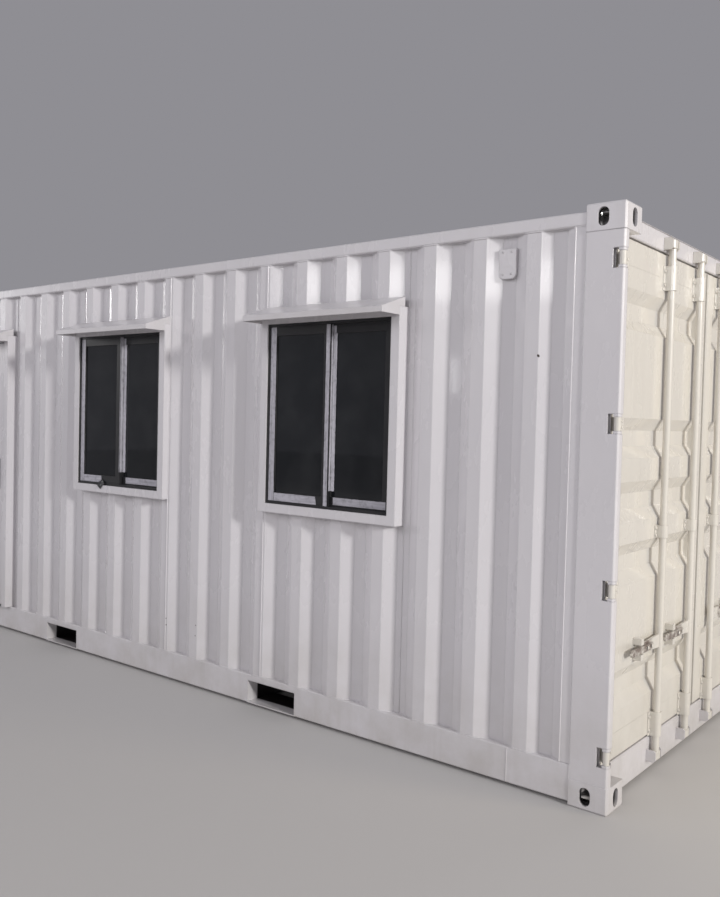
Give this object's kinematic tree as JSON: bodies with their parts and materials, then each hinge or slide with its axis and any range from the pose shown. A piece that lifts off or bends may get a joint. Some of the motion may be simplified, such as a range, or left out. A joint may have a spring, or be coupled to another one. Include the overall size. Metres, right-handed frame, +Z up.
{
  "type": "shipping container cabin",
  "caption": "White steel container turned into a cabin, with sliding windows under rain hoods, an entry door in one side and cargo doors with locking rods at one end.",
  "frame": {"origin": "centre of the base, on the plane of the four bottom corner castings' undersides", "axes": "+X along the box towards the cargo doors, -Y towards the side with the windows, +Z up"},
  "size_m": [6.058, 2.62, 2.591],
  "materials": {
    "painted_white": "gloss paint",
    "plywood": "sealed plywood",
    "black_aluminium": "black powder coat",
    "window_glass": "dark tinted glass",
    "bare_steel": "satin",
    "black_rubber": "matte"
  },
  "bodies": {
    "cabin": {"bottom_castings": "painted_white", "top_castings": "painted_white", "bottom_rail_front": "painted_white", "bottom_rail_back": "painted_white", "top_rails": "painted_white", "fork_pockets": "painted_white", "cross_members": "painted_white", "plywood_floor": "plywood", "rear_posts": "painted_white", "front_posts": "painted_white", "door_header": "painted_white", "door_sill": "painted_white", "end_top_rail": "painted_white", "end_bottom_rail": "painted_white", "roof": "painted_white", "roof_end_plates": "painted_white", "window_wall_panels": "painted_white", "window_wall_lower": "painted_white", "window_wall_upper": "painted_white", "back_wall": "painted_white", "end_wall": "painted_white", "window_surrounds": "painted_white", "window_frames": "black_aluminium", "window_sashes": "black_aluminium", "window_glass": "window_glass", "rain_hoods": "painted_white", "entry_jambs": "painted_white", "entry_head": "painted_white", "entry_threshold": "bare_steel", "entry_hinge_pins": "bare_steel", "hinge_lugs": "painted_white", "cam_keepers_top": "painted_white", "cam_keepers_bottom": "painted_white", "ventilators": "painted_white"},
    "entry_door": {"entry_leaf": "painted_white", "entry_handle": "bare_steel", "entry_hinge_knuckles": "bare_steel"},
    "cargo_left_leaf": {"cargo_left_frame": "painted_white", "cargo_left_panel": "painted_white", "cargo_left_gasket": "black_rubber", "cargo_left_hinge_blades": "painted_white", "cargo_left_rod_guides": "painted_white"},
    "cargo_right_leaf": {"cargo_right_frame": "painted_white", "cargo_right_panel": "painted_white", "cargo_right_gasket": "black_rubber", "cargo_right_hinge_blades": "painted_white", "cargo_right_rod_guides": "painted_white"},
    "lock_left_1": {"lock_rod_left_1": "painted_white"},
    "lock_left_2": {"lock_rod_left_2": "painted_white"},
    "lock_right_1": {"lock_rod_right_1": "painted_white"},
    "lock_right_2": {"lock_rod_right_2": "painted_white"}
  },
  "joints": [
    {"name": "entry_door_hinge", "type": "hinge", "parent": "cabin", "child": "entry_door", "pos_m": [-2.642, -1.264, 1.18], "axis": [0, 0, -1], "range_deg": [0, 100]},
    {"name": "cargo_left_hinge", "type": "hinge", "parent": "cabin", "child": "cargo_left_leaf", "pos_m": [3.012, -1.202, 1.3], "axis": [0, 0, -1], "range_deg": [0, 255]},
    {"name": "cargo_right_hinge", "type": "hinge", "parent": "cabin", "child": "cargo_right_leaf", "pos_m": [3.012, 1.202, 1.3], "axis": [0, 0, 1], "range_deg": [0, 255]},
    {"name": "lock_left_1_turn", "type": "hinge", "parent": "cargo_left_leaf", "child": "lock_left_1", "pos_m": [3.001, -0.59, 0.64], "axis": [0, 0, -1], "range_deg": [-90, 0]},
    {"name": "lock_left_2_turn", "type": "hinge", "parent": "cargo_left_leaf", "child": "lock_left_2", "pos_m": [3.001, -0.18, 0.64], "axis": [0, 0, -1], "range_deg": [-90, 0]},
    {"name": "lock_right_1_turn", "type": "hinge", "parent": "cargo_right_leaf", "child": "lock_right_1", "pos_m": [3.001, 0.59, 0.64], "axis": [0, 0, 1], "range_deg": [-90, 0]},
    {"name": "lock_right_2_turn", "type": "hinge", "parent": "cargo_right_leaf", "child": "lock_right_2", "pos_m": [3.001, 0.18, 0.64], "axis": [0, 0, 1], "range_deg": [-90, 0]}
  ]
}
